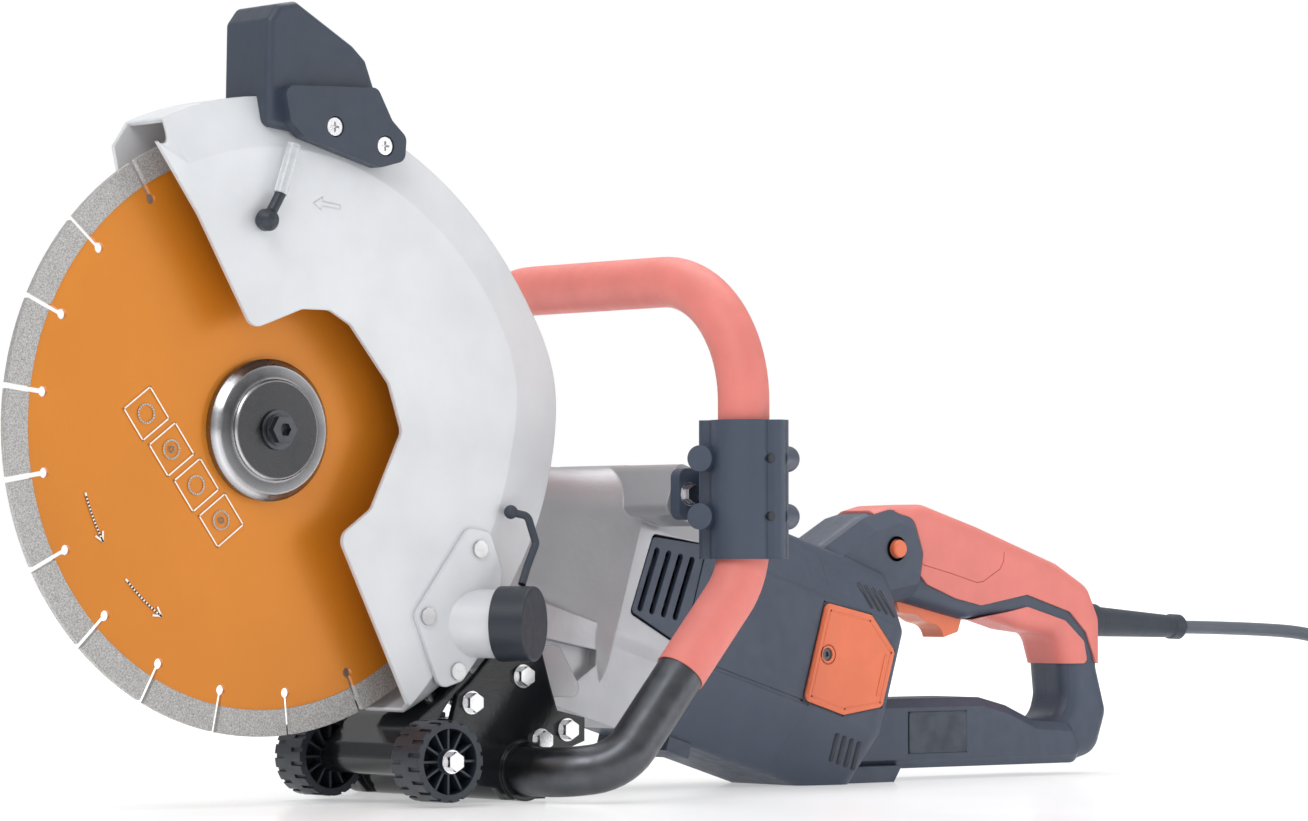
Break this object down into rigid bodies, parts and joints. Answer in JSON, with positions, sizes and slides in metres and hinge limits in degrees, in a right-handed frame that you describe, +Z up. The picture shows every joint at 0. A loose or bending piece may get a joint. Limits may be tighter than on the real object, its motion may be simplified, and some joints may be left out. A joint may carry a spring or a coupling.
{
  "type": "concrete cut-off saw",
  "caption": "Electric concrete cut-off saw: orange diamond blade in a silver guard, geared motor, loop front handle, D-shaped rear handle, guide rollers and mains lead.",
  "frame": {"origin": "on the floor under the middle of the saw, its lead not counted", "axes": "+X towards the rear handle and lead, -X towards the blade, +Y towards the motor side (the operator's right), +Z up"},
  "size_m": [1.047, 0.2872, 0.4008],
  "materials": {
    "blade_steel": "satin orange powder coat",
    "diamond": "sintered metal and diamond grit",
    "bright_steel": "machined steel",
    "dark_steel": "blackened steel",
    "zinc": "bright zinc plate",
    "guard_silver": "pale silver-grey coat, satin",
    "cast_alu": "sand-blasted die casting",
    "black_gloss": "gloss black coat",
    "blue_grey": "dark blue-grey glass-filled nylon",
    "coral": "soft coral rubber",
    "orange": "orange nylon",
    "black_plastic": "black nylon",
    "black_rubber": "black rubber",
    "clear_hose": "clear plastic hose",
    "copper": "copper",
    "carbon": "carbon graphite",
    "laminate": "varnished steel laminations",
    "brass": "brass",
    "plate_dark": "blank satin plate",
    "lead_black": "black cable sheath"
  },
  "bodies": {
    "saw_body": {"armature_bearings": "bright_steel", "base_bracket": "black_gloss", "bearing_cover": "cast_alu", "brush_cover_left": "orange", "brush_cover_right": "orange", "brush_cover_screws": "dark_steel", "brush_holders": "brass", "cap_strap": "black_rubber", "carbon_brushes": "carbon", "clamp_inner_left": "blue_grey", "clamp_inner_right": "blue_grey", "clamp_outer_left": "blue_grey", "clamp_outer_right": "blue_grey", "clamp_screws": "dark_steel", "cord_coil": "lead_black", "cord_lead": "lead_black", "dust_port": "guard_silver", "gearbox_casting": "cast_alu", "guard_grip": "blue_grey", "guard_grip_screws": "zinc", "guard_shell": "guard_silver", "handle_screws": "dark_steel", "handle_shell_left": "blue_grey", "handle_shell_right": "blue_grey", "hex_bolts": "zinc", "hose_elbow": "black_plastic", "loop_sleeve": "coral", "loop_tube": "dark_steel", "lower_grip_cover": "coral", "motor_housing": "blue_grey", "plug": "black_rubber", "port_rivets": "bright_steel", "rating_plate": "plate_dark", "spindle_bearings": "bright_steel", "stator": "laminate", "strain_relief": "black_rubber", "switch_module": "black_plastic", "upper_grip_cover": "coral", "vent_grille_left": "blue_grey", "vent_grille_right": "blue_grey", "water_hose": "clear_hose", "wheel_axle": "bright_steel"},
    "blade_set": {"blade_core": "blade_steel", "diamond_segments": "diamond", "outer_flange": "bright_steel", "inner_flange": "dark_steel", "blade_bolt": "zinc", "bolt_washer": "zinc", "spindle": "bright_steel", "bevel_gear": "dark_steel"},
    "armature": {"armature_shaft": "bright_steel", "armature_core": "laminate", "commutator": "copper", "cooling_fan": "black_plastic", "bevel_pinion": "dark_steel"},
    "wheel_left": {"wheel_left": "black_plastic"},
    "wheel_right": {"wheel_right": "black_plastic"},
    "trigger": {"trigger": "orange"},
    "lock_button": {"lock_button": "orange"},
    "port_cap": {"port_cap": "black_rubber"}
  },
  "joints": [
    {"name": "blade_spin", "type": "hinge", "parent": "saw_body", "child": "blade_set", "pos_m": [-0.2359, -0.045, 0.188], "axis": [0, 1, 0], "continuous": true},
    {"name": "armature_spin", "type": "hinge", "parent": "saw_body", "child": "armature", "pos_m": [0.05099, 0.005, 0.10029], "axis": [0.9563, 0, -0.2924], "continuous": true},
    {"name": "left_wheel_spin", "type": "hinge", "parent": "saw_body", "child": "wheel_left", "pos_m": [-0.1629, -0.092, 0.023], "axis": [0, 1, 0], "continuous": true},
    {"name": "right_wheel_spin", "type": "hinge", "parent": "saw_body", "child": "wheel_right", "pos_m": [-0.1629, 0.008, 0.023], "axis": [0, 1, 0], "continuous": true},
    {"name": "trigger_press", "type": "slide", "parent": "saw_body", "child": "trigger", "axis": [0, 0, 1], "range_m": [0, 0.005], "stiffness_N_per_m": 900, "springref_m": -0.004},
    {"name": "lock_press", "type": "slide", "parent": "saw_body", "child": "lock_button", "axis": [0, 1, 0], "range_m": [0, 0.004], "stiffness_N_per_m": 400, "springref_m": -0.003},
    {"name": "port_cap_pull", "type": "slide", "parent": "saw_body", "child": "port_cap", "axis": [0.53, -0.848, 0], "range_m": [0, 0.02]}
  ],
  "couplings": [
    {"joint": "armature_spin", "follows": "blade_spin", "ratio": 3.9167}
  ]
}
